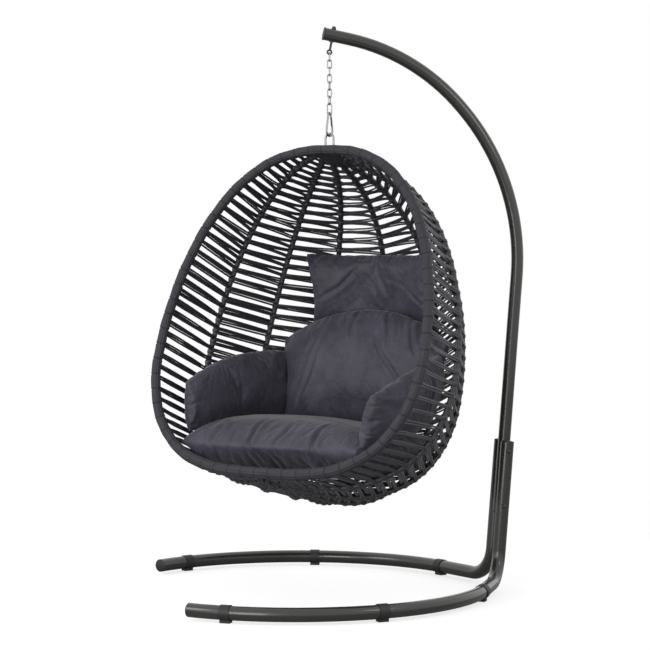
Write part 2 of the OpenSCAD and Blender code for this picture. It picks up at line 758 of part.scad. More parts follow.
module seat_cushion()
    pad(seat_size, seat_at, [0, 0, -4.7], -3, round = 0.16, pinch = 0.03, edge = 34);
module back_cushion()
    pad(back_size, back_at, [-0.25, -7.15, -20.47], 78, bow = [20, 0],
        rise = [back_arch, 0, 0], flare = 0.15);
module head_pillow()
    pad(head_size, head_at, [-1.28, 3.97, 0.85], 99, pinch = 0.06, bow = [78, 0]);
module arm_pad(side, at, settle, pitch, yaw, droop)
    pad(arm_pad_size, at, settle, pitch, yaw = side*yaw, round = 0.12, bow = [-40, 0],
        rise = [arm_arch, side*arm_slope, side*droop]);
module right_arm_cushion() arm_pad(1, right_pad_at, [-18.96, 2.62, -10.85], 104, 96, 34);
module left_arm_cushion() arm_pad(-1, left_pad_at, [-2.55, 0.8, -0.8], 92, 104, 6);

stand_arm();
arm_tip_cap();
arm_foot_plug();
right_leg();
left_leg();
stub_caps();
leg_end_caps();
right_foot_clips();
left_foot_clips();
frame_bolts();
frame_washers();
frame_nuts();
side_screws();
eye_bolt();
eye_washers();
eye_nut();
chain_link(0);  // chain_link_1
chain_link(1);  // chain_link_2
chain_link(2);  // chain_link_3
chain_link(3);  // chain_link_4
chain_link(4);  // chain_link_5
chain_link(5);  // chain_link_6
chain_link(6);  // chain_link_7
end_link();
snap_hook();
hook_gate();
gate_pin();
hanging_loop();
top_plate();
bottom_plate();
rim_tube();
rim_winding();
rib(0);  // rib_1
rib(1);  // rib_2
rib(2);  // rib_3
rib(3);  // rib_4
rib(4);  // rib_5
rib(5);  // rib_6
rib(6);  // rib_7
weave(0);  // weave_1
weave(1);  // weave_2
weave(2);  // weave_3
weave(3);  // weave_4
weave(4);  // weave_5
weave(5);  // weave_6
weave(6);  // weave_7
weave(7);  // weave_8
seat_cushion();
back_cushion();
head_pillow();
right_arm_cushion();
left_arm_cushion();
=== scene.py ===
# %% [markdown]
# # A hanging egg chair, dressed piece by piece
# The solid model gives the stand, the chain, the snap hook and every bolt at
# their real size. What it can't give is the look of the soft and wound parts:
# hundreds of resin cords, a rim bound with cord, and stuffed satin cushions.
# This script loads the solid model as a fixed frame, keeps the pieces whose
# shape is right, and builds the others over it in metres, in the same place.

# %% Load the frame
import bpy
import json
import math
import numpy as np
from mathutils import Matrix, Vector


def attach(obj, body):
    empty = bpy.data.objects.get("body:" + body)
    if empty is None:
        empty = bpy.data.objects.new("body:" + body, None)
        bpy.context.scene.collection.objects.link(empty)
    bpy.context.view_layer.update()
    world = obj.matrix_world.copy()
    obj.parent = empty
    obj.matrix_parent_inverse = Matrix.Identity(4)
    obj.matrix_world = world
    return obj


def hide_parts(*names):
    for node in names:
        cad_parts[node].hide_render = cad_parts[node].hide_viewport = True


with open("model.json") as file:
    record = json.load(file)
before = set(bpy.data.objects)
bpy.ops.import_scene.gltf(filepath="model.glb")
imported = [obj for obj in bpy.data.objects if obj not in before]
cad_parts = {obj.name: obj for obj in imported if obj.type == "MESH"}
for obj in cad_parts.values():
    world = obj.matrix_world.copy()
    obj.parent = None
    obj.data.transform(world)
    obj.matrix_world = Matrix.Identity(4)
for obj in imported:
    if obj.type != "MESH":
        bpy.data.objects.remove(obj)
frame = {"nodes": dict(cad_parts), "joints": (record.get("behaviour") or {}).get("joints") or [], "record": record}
nodes = frame["nodes"]
joints = {j["name"]: j for j in frame["joints"]}
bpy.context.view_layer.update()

# %% [markdown]
# ## The camera
# A long lens from the chair's front right, a little above seat height. A long
# lens keeps upright tubes parallel, which is how such furniture is shown. The
# hanging axis is read from the swivel joint, so the camera is placed from it.

# %% Camera
SENSOR_MM = 36.0
FOCAL_PIXELS, PICTURE_PIXELS = 2020.6, 650.0
EYE_FROM_AXIS = np.array([3.7602, -5.6907, 1.0833])
AIM_FROM_AXIS = np.array([-0.0111, -0.0105, 0.9015])
swivel = joints["basket_swivel"]["pos_m"]
hang_x, hang_y = swivel[0], swivel[1]
eye_at = EYE_FROM_AXIS + np.array([hang_x, hang_y, 0.0])
look_at = AIM_FROM_AXIS + np.array([hang_x, hang_y, 0.0])
lens = bpy.data.cameras.new("studio_lens")
lens.sensor_width = SENSOR_MM
lens.lens = SENSOR_MM * FOCAL_PIXELS / PICTURE_PIXELS
camera = bpy.data.objects.new("studio_camera", lens)
bpy.context.scene.collection.objects.link(camera)
camera.location = Vector(eye_at)
camera.rotation_euler = Vector(look_at - eye_at).to_track_quat("-Z", "Y").to_euler()
bpy.context.scene.camera = camera
print("lens %.1f mm, %.2f m from the chair" % (lens.lens, np.linalg.norm(look_at - eye_at)))

# %% [markdown]
# ## Material helpers
# Colours are chosen as hex values on a screen, which are sRGB, while the
# renderer works in linear light, so one function turns them. One small
# function adds a shader node with its settings and links. It fills the node's
# sockets through another one, which also serves the main shader, so each
# material is short enough to read as a recipe.

# %% Colour and node helpers
def linear(hex_code, alpha=1.0):
    """Turns an sRGB hex code into linear light: each channel c becomes
    ((c + 0.055) / 1.055) ** 2.4, or c / 12.92 where it is very dark."""
    c = np.array([int(hex_code[i:i + 2], 16) for i in (1, 3, 5)]) / 255.0
    c = np.where(c <= 0.04045, c / 12.92, ((c + 0.055) / 1.055) ** 2.4)
    return (*map(float, c), alpha)


def fill(tree, node, **sockets):
    """Fills input sockets, by name or as i0, i1 by number. A value is set on
    the socket itself, and another node's output is linked to it."""
    for k, v in sockets.items():
        by_number = k[0] == "i" and k[1:].isdigit()
        s = node.inputs[int(k[1:])] if by_number else node.inputs[k.replace("_", " ")]
        if isinstance(v, bpy.types.NodeSocket):
            tree.links.new(v, s)
        else:
            s.default_value = v
    return node


def add(tree, kind, settings=None, **sockets):
    """Adds one node with its own settings, and fills its sockets."""
    n = tree.nodes.new(kind)
    for k, v in (settings or {}).items():
        setattr(n, k, v)
    return fill(tree, n, **sockets)


def finish_named(name):
    """A new material with a Principled shader and its output. Gives the
    material, its nodes, the shader and the place on the object in metres."""
    m = bpy.data.materials.new(name)
    m.use_nodes = True
    tree = m.node_tree
    where = add(tree, "ShaderNodeTexCoord").outputs["Object"]
    return m, tree, tree.nodes["Principled BSDF"], where


COLOURS = {"data_type": "RGBA"}
print("mid grey #808080 is", [round(v, 3) for v in linear("#808080")[:3]], "in linear light")

# %% [markdown]
# ## Powder coat on the stand
# The tubes are steel with a polyester powder coat: dark, a little green, and
# satin. Baked powder leaves an orange peel about 1.5 mm across and a fraction
# of a tenth of a millimetre deep. It breaks up the long highlight on a tube,
# so it is a faint bump, and a second, broad noise shifts the gloss. A thin
# clear coat gives the sharp pale line along a tube's edge.

# %% Powder coat
PEEL_PER_M = 650.0
powder_coat, t, skin, where = finish_named("polyester_powder_coat_on_steel")
haze = add(t, "ShaderNodeTexNoise", Vector=where, Scale=9.0, Detail=3.0).outputs["Fac"]
tone = add(t, "ShaderNodeMix", COLOURS, Factor=haze, A=linear("#282825"), B=linear("#33332f"))
gloss = add(t, "ShaderNodeMapRange", Value=haze, To_Min=0.22, To_Max=0.32)
peel = add(t, "ShaderNodeTexNoise", Vector=where, Scale=PEEL_PER_M, Detail=2.0).outputs["Fac"]
bump = add(t, "ShaderNodeBump", Height=peel, Strength=0.12, Distance=0.0004)
fill(t, skin, Base_Color=tone.outputs["Result"], Roughness=gloss.outputs["Result"], Coat_Weight=0.4,
     Coat_Roughness=0.12, Normal=bump.outputs["Normal"])
print("powder coat peel repeats every", round(1000 / PEEL_PER_M, 1), "mm")

# %% [markdown]
# ## Resin cord
# The basket is wound with an extruded resin cord, near black and dull, with
# fine grooves along it from the die. The cords carry a UV map that is in
# metres along the cord and one turn around it, so the grooves follow every
# bend. Real grooves are well under a millimetre apart. Ten round a weave
# cord, about 2 mm apart, are coarse enough to show.

# %% Resin cord
def resin_cord(name, dark, light, grooves, dull, coat):
    """Cord finish: grooves run along the cord, as a sine of the UV's turn."""
    m, t, skin, where = finish_named(name)
    uv = add(t, "ShaderNodeUVMap", {"uv_map": "along"}).outputs["UV"]
    split = add(t, "ShaderNodeSeparateXYZ", Vector=uv)
    turn = add(t, "ShaderNodeMath", {"operation": "MULTIPLY"}, i0=split.outputs["X"],
               i1=grooves * 2 * math.pi)
    ridge = add(t, "ShaderNodeMath", {"operation": "SINE"}, i0=turn.outputs[0])
    blotch = add(t, "ShaderNodeTexNoise", Vector=where, Scale=38.0, Detail=3.0).outputs["Fac"]
    tone = add(t, "ShaderNodeMix", COLOURS, Factor=blotch, A=linear(dark), B=linear(light))
    bump = add(t, "ShaderNodeBump", Height=ridge.outputs[0], Strength=0.35, Distance=0.0004)
    fill(t, skin, Base_Color=tone.outputs["Result"], Roughness=dull, Coat_Weight=coat, Coat_Roughness=0.3,
         Normal=bump.outputs["Normal"])
    return m


weave_cord = resin_cord("extruded_resin_cord", "#29282e", "#3b3941", 10, 0.42, 0.25)
rib_cord = resin_cord("extruded_resin_cord_on_ribs", "#26252a", "#37363d", 6, 0.45, 0.2)
rim_cord = resin_cord("extruded_resin_cord_on_rim", "#201f26", "#33313a", 60, 0.55, 0.0)
print("cord finishes:", weave_cord.name, rib_cord.name, rim_cord.name)

# %% [markdown]
# ## Satin cloth
# The covers are grey polyester satin with a slight violet cast. Its gloss shifts
# in soft patches where the nap has been pressed, and the same patches are
# lighter in colour: a painted sheen, for the lustre of crushed satin. Real
# threads are a fraction of a millimetre apart; two crossed waves stand for them,
# drawn about 3 mm apart so that they show. A broader noise gives the cloth its
# fine crumples. A sheen lobe gives the pale edge that polyester has at a grazing
# view.

# %% Satin cloth
# The wave node's phase is 20 radians for each unit of its scaled place.
WAVE_SCALE, PHASE_PER_UNIT = 100.0, 20
satin, t, skin, where = finish_named("polyester_satin")
# Painted sheen: the pressed patches are also lighter in colour, for the soft lustre of crushed satin, while their
# roughness shift is the real change in gloss.
pressed = add(t, "ShaderNodeTexNoise", Vector=where, Scale=11.0, Detail=4.0, Roughness=0.55,
              Distortion=0.4).outputs["Fac"]
painted_sheen_patch = add(t, "ShaderNodeMapRange", Value=pressed, From_Min=0.36, From_Max=0.64).outputs["Result"]
tone = add(t, "ShaderNodeMix", COLOURS, Factor=painted_sheen_patch, A=linear("#3d3b46"), B=linear("#4e4b59"))
gloss = add(t, "ShaderNodeMapRange", Value=pressed, To_Min=0.42, To_Max=0.56)
threads = [add(t, "ShaderNodeTexWave", {"wave_type": "BANDS", "bands_direction": axis}, Vector=where,
               Scale=WAVE_SCALE, Distortion=1.5, Detail=1.0).outputs["Fac"] for axis in "XZ"]
crossed = add(t, "ShaderNodeMath", {"operation": "ADD"}, i0=threads[0], i1=threads[1])
woven = add(t, "ShaderNodeBump", Height=crossed.outputs[0], Strength=0.10, Distance=0.0004)
rumple = add(t, "ShaderNodeTexNoise", Vector=where, Scale=22.0, Detail=6.0, Roughness=0.62,
             Distortion=1.2).outputs["Fac"]
bump = add(t, "ShaderNodeBump", Height=rumple, Strength=0.6, Distance=0.008, Normal=woven.outputs["Normal"])
fill(t, skin, Base_Color=tone.outputs["Result"], Roughness=gloss.outputs["Result"], Specular_IOR_Level=0.35,
     Sheen_Weight=0.25, Sheen_Roughness=0.4, Normal=bump.outputs["Normal"])
print("threads drawn %.1f mm apart" % (1000 * 2 * math.pi / PHASE_PER_UNIT / WAVE_SCALE))

# %% [markdown]
# ## Zinc plate
# The chain, the snap hook and the hanging loop are bright zinc plated steel: a
# metal with a slightly cloudy grey. One noise shifts both its colour and its
# gloss.

# %% Zinc plate
CLOUD_PER_M = 120.0
zinc, t, skin, where = finish_named("bright_zinc_plate")
cloud = add(t, "ShaderNodeTexNoise", Vector=where, Scale=CLOUD_PER_M, Detail=3.0).outputs["Fac"]
tone = add(t, "ShaderNodeMix", COLOURS, Factor=cloud, A=linear("#7d7f82"), B=linear("#b4b6b8"))
gloss = add(t, "ShaderNodeMapRange", Value=cloud, To_Min=0.25, To_Max=0.45)
fill(t, skin, Base_Color=tone.outputs["Result"], Metallic=1.0, Roughness=gloss.outputs["Result"])
print("zinc clouds repeat every %.0f mm" % (1000 / CLOUD_PER_M))

# %% [markdown]
# ## Moulded plastic and the basket's frame
# The tube ends and floor clips are moulded plastic, dull black with a fine
# spark-eroded grain of about half a millimetre. The basket's own frame is
# powder coated like the stand, but black and duller.

# %% Plastic and frame
GRAIN_PER_M = 1800.0
plastic, t, skin, where = finish_named("moulded_black_polypropylene")
scuff = add(t, "ShaderNodeTexNoise", Vector=where, Scale=60.0, Detail=4.0).outputs["Fac"]
tone = add(t, "ShaderNodeMix", COLOURS, Factor=scuff, A=linear("#1b1b1b"), B=linear("#2b2b2a"))
grain = add(t, "ShaderNodeTexNoise", Vector=where, Scale=GRAIN_PER_M, Detail=1.0).outputs["Fac"]
bump = add(t, "ShaderNodeBump", Height=grain, Strength=0.2, Distance=0.0002)
fill(t, skin, Base_Color=tone.outputs["Result"], Roughness=0.52, Normal=bump.outputs["Normal"])

inner_frame, t, skin, where = finish_named("black_powder_coat_on_frame")
haze = add(t, "ShaderNodeTexNoise", Vector=where, Scale=14.0, Detail=3.0).outputs["Fac"]
tone = add(t, "ShaderNodeMix", COLOURS, Factor=haze, A=linear("#222224"), B=linear("#2e2e31"))
peel = add(t, "ShaderNodeTexNoise", Vector=where, Scale=PEEL_PER_M, Detail=2.0).outputs["Fac"]
bump = add(t, "ShaderNodeBump", Height=peel, Strength=0.1, Distance=0.0004)
fill(t, skin, Base_Color=tone.outputs["Result"], Roughness=0.42, Normal=bump.outputs["Normal"])
print("plastic grain repeats every %.2f mm" % (1000 / GRAIN_PER_M))

# %% [markdown]
# ## Black oxide
# The eye bolt, the hook's gate and the bolts and screws in the legs are steel
# with a black oxide finish: a dark metal with a trace of oil that shifts its
# grey. Every solid then gets the finish of its slot, and these get the oxide.

# %% Black oxide, and dressing the solids
dark_steel, t, skin, where = finish_named("black_oxide_steel")
oil = add(t, "ShaderNodeTexNoise", Vector=where, Scale=90.0, Detail=3.0).outputs["Fac"]
tone = add(t, "ShaderNodeMix", COLOURS, Factor=oil, A=linear("#3c3c3b"), B=linear("#525251"))
fill(t, skin, Base_Color=tone.outputs["Result"], Metallic=0.8, Roughness=0.42)

finish_of = {"stand": powder_coat, "frame": inner_frame, "plug": plastic, "foot": plastic,
             "zinc": zinc, "cord": weave_cord, "cloth": satin}
slot_of = {s["node"]: s["material_slot"] for s in frame["record"]["subparts"]}
for name, piece in nodes.items():
    piece.data.materials.clear()
    piece.data.materials.append(finish_of[slot_of[name]])
OXIDE_NODES = ("frame_bolts", "frame_washers", "frame_nuts", "side_screws", "eye_bolt", "eye_nut",
               "eye_washers", "hook_gate")
for name in OXIDE_NODES:
    nodes[name].data.materials[0] = dark_steel
print("solids dressed:", len(nodes), "of them in black oxide:", len(OXIDE_NODES))

# %% [markdown]
# ## From numpy arrays to meshes
# Every new piece is a surface worked out as one array of points. A tube is a
# path with a ring of points round each station, so one function turns stations
# into vertices, quads and a UV map: u is the turn round the tube, and v is the
# distance along it in metres. All cords of a bay are one mesh.

# %% Mesh helpers
def unit(v):
    """Scales vectors along the last axis to length one."""
    return v / np.maximum(np.linalg.norm(v, axis=-1, keepdims=True), 1e-12)


def put_in_scene(name, verts, quads, finish, uv=None, caps=None):
    """Makes a smooth mesh object. caps are extra faces of many corners."""
    mesh = bpy.data.meshes.new(name)
    caps = np.zeros((0, 3), int) if caps is None else caps
    sizes = np.concatenate([np.full(len(quads), quads.shape[1]), np.full(len(caps), caps.shape[1])])
    corners = np.concatenate([quads.ravel(), caps.ravel()])
    mesh.vertices.add(len(verts))
    mesh.vertices.foreach_set("co", np.asarray(verts, np.float32).ravel())
    mesh.loops.add(len(corners))
    mesh.loops.foreach_set("vertex_index", corners.astype(np.int32))
    mesh.polygons.add(len(sizes))
    mesh.polygons.foreach_set("loop_start", np.concatenate([[0], np.cumsum(sizes)[:-1]]).astype(np.int32))
    mesh.polygons.foreach_set("use_smooth", np.ones(len(sizes), bool))
    mesh.update(calc_edges=True)
    if uv is not None:
        layer = mesh.uv_layers.new(name="along")
        layer.data.foreach_set("uv", np.asarray(uv, np.float32).ravel())
    mesh.validate()
    piece = bpy.data.objects.new(name, mesh)
    bpy.context.scene.collection.objects.link(piece)
    piece.data.materials.append(finish)
    return piece


def tubes(name, rings, finish, closed=False):
    """rings is an array (tubes, stations, sides, 3). Quads join each ring to
    the next. Open tubes are closed at both ends by one face each."""
    n, k, s, _ = rings.shape
    ids = np.arange(n * k * s).reshape(n, k, s)
    nxt = np.roll(ids, -1, axis=2)
    a, b = (ids, np.roll(ids, -1, axis=1)) if closed else (ids[:, :-1], ids[:, 1:])
    an, bn = (nxt, np.roll(nxt, -1, axis=1)) if closed else (nxt[:, :-1], nxt[:, 1:])
    quads = np.stack([a, an, bn, b], -1).reshape(-1, 4)
    centre = rings.mean(axis=2)
    step = np.linalg.norm(np.diff(centre, axis=1), axis=-1)
    along = np.concatenate([np.zeros((n, 1)), np.cumsum(step, axis=1)], axis=1)
    if closed:
        last = np.linalg.norm(centre[:, 0] - centre[:, -1], axis=-1)[:, None]
        v0, v1 = along, np.concatenate([along[:, 1:], along[:, -1:] + last], axis=1)
    else:
        v0, v1 = along[:, :-1], along[:, 1:]
    u0 = np.arange(s) / s
    u1 = u0 + 1 / s
    full = v0.shape + (s,)
    U0, U1 = np.broadcast_to(u0, full), np.broadcast_to(u1, full)
    V0, V1 = np.broadcast_to(v0[..., None], full), np.broadcast_to(v1[..., None], full)
    uv = np.stack([np.stack(p, -1) for p in ((U0, V0), (U1, V0), (U1, V1), (U0, V1))], -2).reshape(-1, 2)
    caps = None
    if not closed:
        caps = np.concatenate([ids[:, 0, ::-1], ids[:, -1]]).reshape(-1, s)
        uv = np.concatenate([uv, np.zeros((caps.size, 2))])
    return put_in_scene(name, rings.reshape(-1, 3), quads, finish, uv, caps)


print("helpers ready")

# %% [markdown]
# ## The shape of the basket
# The basket is an egg cut by the plane of its opening. One function gives any
# point of it from two angles: a goes round the back from the right rim (0) to
# the left rim (180), and t goes from the lowest point (-90) to the top (90).
# The width falls as cos t, while the height follows a superellipse, and the
# depth uses its own power of cos t, which makes the flat, full underside.

# %% Basket surface
HALF_W, RISE, DROP, DEPTH = 0.524, 0.722, 0.392, 0.732
LEAN, RIM_BACK = math.radians(18.3), 0.036
POW_TOP, POW_LOW, DEEP_TOP, DEEP_LOW = 2.44, 3.17, 0.83, 0.59
RIB_AT = np.array([0, 22, 46, 71.4, 98.3, 121.1, 142.3, 160.8, 180.0])
UNDER_EXTRA, UNDER_FROM = 0.013, (-45, -72)
HOOK_TO_RIM = 0.056
RIM_TOP = joints["basket_rock"]["pos_m"][2] - HOOK_TO_RIM


def to_room(p):
    """Leans basket points back by LEAN about x and hangs them under the hook."""
    c, s = math.cos(LEAN), math.sin(LEAN)
    return np.stack([p[..., 0] + hang_x, p[..., 1] * c + p[..., 2] * s - RIM_BACK + hang_y,
                     -p[..., 1] * s + p[..., 2] * c + RIM_TOP], -1)


def egg(a, t):
    """x = W cos t cos a; y = D (cos t)^deep sin a; z = -RISE +- H sqrt(1 - (cos t)^pow),
    with the upper values where t is above 0 and the lower ones below."""
    a, t = np.broadcast_arrays(np.radians(a), np.radians(t))
    c, up = np.clip(np.cos(t), 1e-6, 1), t >= 0
    z = np.where(up, RISE, -DROP) * np.sqrt(np.maximum(1 - c ** np.where(up, POW_TOP, POW_LOW), 0))
    y = DEPTH * c ** np.where(up, DEEP_TOP, DEEP_LOW) * np.sin(a)
    return to_room(np.stack([HALF_W * c * np.cos(a), y, z - RISE], -1))


def outward(a, t):
    """The unit normal: the cross product of the steps round and along."""
    return unit(np.cross(egg(a + 0.2, t) - egg(a - 0.2, t), egg(a, t + 0.2) - egg(a, t - 0.2)))


def wound(a, t):
    """The cords' surface: the basket, with UNDER_EXTRA more cord under its
    lowest part, where the ribs crowd together. It grows in smoothly between
    the two values of t in UNDER_FROM."""
    k = np.clip((UNDER_FROM[0] - np.asarray(t, float)) / (UNDER_FROM[0] - UNDER_FROM[1]), 0, 1)
    return egg(a, t) + outward(a, t) * (UNDER_EXTRA * k * k * (3 - 2 * k))[..., None]


fine_t = np.linspace(-88, 88, 1761)
mean_line = np.mean([np.concatenate([[0], np.cumsum(np.linalg.norm(np.diff(egg(a, fine_t), axis=0), axis=1))])
                     for a in RIB_AT], axis=0)
print("a rib is about %.2f m long, rim top at %.3f m" % (mean_line[-1], RIM_TOP))

# %% [markdown]
# ## Cords between the ribs
# A worker winds pairs of cord from rib to rib. On one rib two pairs lie over
# each other, one outside and one inside, and on the next they spread, so each
# turn is a narrow V. Low down the pairs stay parallel and further apart. One
# cord is a flattened oval, 7.0 by 5.4 mm, and its path is straight with a
# small step at each end, where it climbs over or under the rib. The turns are
# 36.5 mm apart in the upper half and 39 mm below, measured along the ribs'
# mean line, so all ribs get the same number of turns. A bay can also be wound
# with a slant: its right-hand ends then sit higher or lower than its left.

# %% Weave
CORD_W, CORD_T = 0.0070, 0.0054
TURN_LOW, TURN_HIGH = 0.039, 0.0365
FIRST_TURN, LAST_TURN = 0.014, 0.045
MARKS = [-80, -45, -20, 0, 18, 35, 60, 85]
PAIR = np.array([-1.0, -1.0, 1.0, 1.0])
IN_PAIR = np.array([-1.0, 1.0, -1.0, 1.0])
PAIR_REACH, HALF_GAP, LAYER = 0.26, 0.0034, 0.0080
EVEN_AT, EVEN_BY = [-30, -5, 12], [1, 0.5, 0]
JITTER, SAG, END_GAP = 0.0008, 0.0010, 0.004
CROSSING = np.array([0.0, 0.06, 0.14, 0.3, 0.5, 0.7, 0.86, 0.94, 1.0])[:, None]
STEP_SHARE = 0.3
rng = np.random.default_rng(7)
print("cord %.1f by %.1f mm" % (CORD_W * 1000, CORD_T * 1000))

# %% [markdown]
# ## Where the turns sit
# All turns are placed at distances along one mean rib. A distance gives the
# same angle t on every rib, so a turn stays level round the basket.

# %% Turns along the ribs
def at_length(s):
    """Angle t at a distance s along the ribs' mean line."""
    return np.interp(s, mean_line, fine_t)


turns = [FIRST_TURN]
while turns[-1] < mean_line[-1] - LAST_TURN:
    turns.append(turns[-1] + float(np.interp(at_length(turns[-1]), [5, 30], [TURN_LOW, TURN_HIGH])))
turn_s = np.array(turns)
gap_s = np.gradient(turn_s)
print(len(turn_s), "turns, %.1f to %.1f mm apart" % (gap_s.min() * 1000, gap_s.max() * 1000))


# %% [markdown]
# ## One bay of cords
# A bay's cords start at four offsets round each turn on its left rib and end
# at four on its right one. Small random steps and a little sag keep them from
# looking machined, and a lift near each rib puts one pair outside the rib and
# the other inside.

# %% One bay
def flat_cord(path, across, wide, thick, sides=8):
    """Rings of an oval round each path point. across lies in the basket's
    surface, and the third direction is their cross product with the path."""
    run = unit(np.gradient(path, axis=1))
    side = unit(across - run * np.sum(across * run, -1, keepdims=True))
    up = np.cross(run, side)
    phi = np.arange(sides) / sides * 2 * np.pi
    ring = (np.cos(phi)[:, None] * side[:, :, None] * wide / 2
            + np.sin(phi)[:, None] * up[:, :, None] * thick / 2)
    return path[:, :, None] + ring


def bay(i, spread_left, spread_right, slant):
    """Cords from the rib with the larger angle (left, seen from the seat) to
    the one with the smaller. spread is 0 where the two pairs lie over each
    other and 1 where they fill the turn; it and the slant are lists of values
    at MARKS, which are t in degrees. Where both spreads are 0, only one pair
    is wound. Low down, from bay 4 on, the four cords of a turn space
    themselves evenly."""
    left, right = RIB_AT[i], RIB_AT[i - 1]
    t_k = at_length(turn_s)
    wide = [np.interp(t_k, MARKS, v) for v in (spread_left, spread_right)]
    shift = np.interp(t_k, MARKS, slant)
    n = len(turn_s)
    even = np.interp(t_k, EVEN_AT, EVEN_BY)[:, None] * (i > 3)
    own = IN_PAIR * (HALF_GAP * (1 - even) + gap_s[:, None] / 8 * even)
    jit = rng.normal(0, JITTER, (n, 4, 2))
    s_l = turn_s[:, None] + PAIR * wide[0][:, None] * gap_s[:, None] * PAIR_REACH + own + jit[..., 0]
    s_r = ((turn_s + shift)[:, None] + PAIR * wide[1][:, None] * gap_s[:, None] * PAIR_REACH
           + own + jit[..., 1])
    keep = np.ones((n, 4), bool)
    keep[(wide[0] + wide[1]) < 0.05, :2] = False
    keep &= (s_r > END_GAP) & (s_r < mean_line[-1] - END_GAP)
    t0, t1 = at_length(s_l[keep]), at_length(s_r[keep])
    p0, p1 = wound(left, t0), wound(right, t1)
    n0, n1 = outward(left, t0), outward(right, t1)
    side = np.broadcast_to(PAIR, (n, 4))[keep][:, None, None] * LAYER
    w = CROSSING
    path = p0[:, None] * (1 - w) + p1[:, None] * w
    path = path + n0[:, None] * side * np.clip(1 - w / STEP_SHARE, 0, 1) ** 1.5
    path = path + n1[:, None] * side * np.clip(1 - (1 - w) / STEP_SHARE, 0, 1) ** 1.5
    sag = rng.normal(0, SAG, (len(p0), 1, 1)) * (4 * w * (1 - w))
    path = path + unit(n0 + n1)[:, None] * sag
    up_left = unit(wound(left, t0 + 0.3) - wound(left, t0 - 0.3))[:, None]
    up_right = unit(wound(right, t1 + 0.3) - wound(right, t1 - 0.3))[:, None]
    along = up_left * (1 - w) + up_right * w
    return tubes("weave_cords_%d" % i, flat_cord(path, along, CORD_W, CORD_T), weave_cord)


print("a cord has", len(CROSSING), "rings")

# %% [markdown]
# ## All bays
# Hand winding isn't even: pairs spread more on one rib than on the next, and
# some bays lean. Each bay has three lists at the heights in MARKS, for the
# spread on its left rib, the spread on its right rib and the slant in metres.
# The three bays at the back are wound alike.

# %% All bays
BACK_SLANT = [0.005, 0.01, 0.012, 0.016, 0.022, 0.024, 0.022, 0.01]
bays = {
    1: ([0.8, 0.5, 0, 0, 0.3, 0.2, 0.1, 0.1],
        [0.9, 0.6, 0, 0, 0.9, 0.9, 0.7, 0.3],
        [-0.02, -0.04, -0.045, -0.03, -0.008, 0, 0, 0]),
    2: ([0.9, 0.7, 0.3, 0.3, 0.9, 0.6, 0.1, 0.1],
        [0.9, 0.7, 0.3, 0.3, 1.0, 1.0, 0.8, 0.3],
        [0.01, 0.01, 0.01, 0.012, 0.016, 0.02, 0.02, 0.01]),
    3: ([0.9, 0.7, 0.4, 0.5, 0.9, 0.4, 0.05, 0.1],
        [0.9, 0.8, 0.5, 0.8, 1.0, 1.0, 0.9, 0.4],
        BACK_SLANT),
    7: ([0.9, 0.9, 0.8, 1.0, 0.7, 0.1, 0.1, 0.1],
        [0.9, 0.6, 0.2, 0.2, 0.6, 1.0, 0.9, 0.3],
        [0, 0, 0, 0.006, 0.012, 0.012, 0.008, 0]),
    8: ([0.9, 0.6, 0.3, 0.4, 0.9, 0.2, 0.1, 0.1],
        [0.9, 0.3, 0.1, 0.1, 0.2, 1.0, 0.9, 0.3],
        [-0.01, -0.02, -0.024, -0.026, -0.026, -0.024, -0.020, 0]),
}
for i in (4, 5, 6):
    bays[i] = ([0.9, 0.9, 0.7, 0.5, 0.2, 0.05, 0.05, 0.1],
               [0.9, 0.9, 0.9, 0.9, 1.0, 1.0, 0.9, 0.4],
               BACK_SLANT)
weave_pieces = []
for i in range(1, 9):
    piece = bay(i, *bays[i])
    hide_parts("weave_%d" % i)
    weave_pieces.append(piece)
print(len(turn_s), "turns, faces:", sum(len(p.data.polygons) for p in weave_pieces))

# %% [markdown]
# ## Wound ribs
# Each rib is a bent rod with the cord wound round it, so its outline is a row
# of small ridges, and it is a little thicker wherever a pair of cords turns
# round it. It is one tube whose radius changes: a helical ridge every 7.2 mm,
# plus a swelling at each turn.

# %% Rib winding
def swept(path, normal, radius, turn):
    """Rings round a path in the frame of its tangent, the given normal and
    their cross product; radius is an array (stations, sides)."""
    run = unit(np.gradient(path, axis=0))
    side = unit(normal - run * np.sum(normal * run, -1, keepdims=True))
    up = np.cross(run, side)
    ring = np.cos(turn)[:, None] * side[:, None] + np.sin(turn)[:, None] * up[:, None]
    return path[:, None] + radius[..., None] * ring


ROD_R, RIDGE, RIDGE_PITCH = 0.0085, 0.0013, 0.0072
KNOT, KNOT_REACH = 0.0028, 0.0070
rib_pieces = []
for i in range(1, 8):
    t_i = at_length(np.linspace(mean_line[17], mean_line[-18], 1300))
    line = wound(RIB_AT[i], t_i)
    s_i = np.interp(t_i, fine_t, mean_line)
    turn = np.arange(12) / 12 * 2 * np.pi
    ridge = np.abs(np.cos(np.pi * s_i[:, None] / RIDGE_PITCH + turn / 2))
    knot = np.exp(-(np.abs(s_i[:, None] - turn_s).min(axis=1) / KNOT_REACH) ** 4)[:, None]
    radius = ROD_R + RIDGE * ridge ** 0.6 + KNOT * knot
    rings = swept(line, outward(RIB_AT[i], t_i), radius, turn)
    piece = tubes("rib_winding_%d" % i, rings[None], rib_cord)
    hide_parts("rib_%d" % i)
    rib_pieces.append(piece)
print("wound ribs:", len(rib_pieces), "faces each:", len(rib_pieces[0].data.polygons))

# %% [markdown]
# ## The bound rim
# The rim is a tube under a layer of cords laid along it and tied down every
# 54 mm. It shows as faint lengthwise lines crossed by thin dark ties, each
# tie pulling the layer in a little. Slow lumps keep it from looking turned on
# a lathe, and the winding is thicker at the bottom. The rim's line is flat, so
# its section is turned round with the opening's plane.

